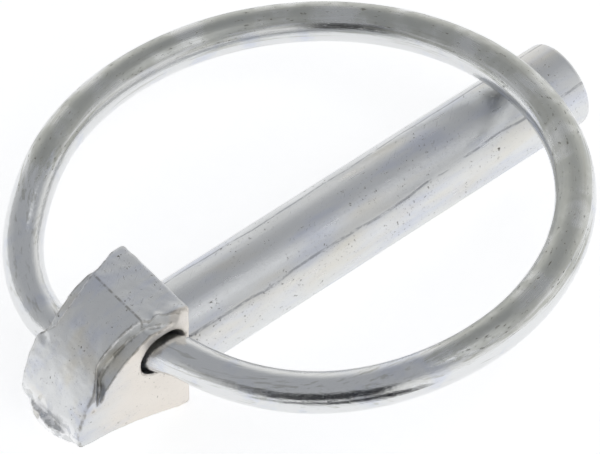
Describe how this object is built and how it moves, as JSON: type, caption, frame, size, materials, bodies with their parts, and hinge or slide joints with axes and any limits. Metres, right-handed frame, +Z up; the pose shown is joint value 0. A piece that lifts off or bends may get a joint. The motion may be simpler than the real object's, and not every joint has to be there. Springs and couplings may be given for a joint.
{
  "type": "linch pin",
  "caption": "Forged locking pin with a hooked block head and a sprung wire ring that swings over the tip of its round shank.",
  "frame": {"origin": "on the shank's axis, in the plane of the head's shoulder", "axes": "+X along the shank towards its tip, +Z up as the pin lies, out of the head's high side"},
  "size_m": [0.0576, 0.049, 0.0155],
  "materials": {
    "pin_zinc": "satin zinc plate on a forging",
    "ring_zinc": "zinc plate on drawn spring wire"
  },
  "bodies": {
    "pin": {"pin": "pin_zinc"},
    "ring": {"ring": "ring_zinc"}
  },
  "joints": [
    {"name": "ring_swing", "type": "hinge", "parent": "pin", "child": "ring", "pos_m": [-0.00435, -0.00008, 0.00337], "axis": [0.3376, -0.8955, 0.2901], "range_deg": [0, 160]}
  ]
}
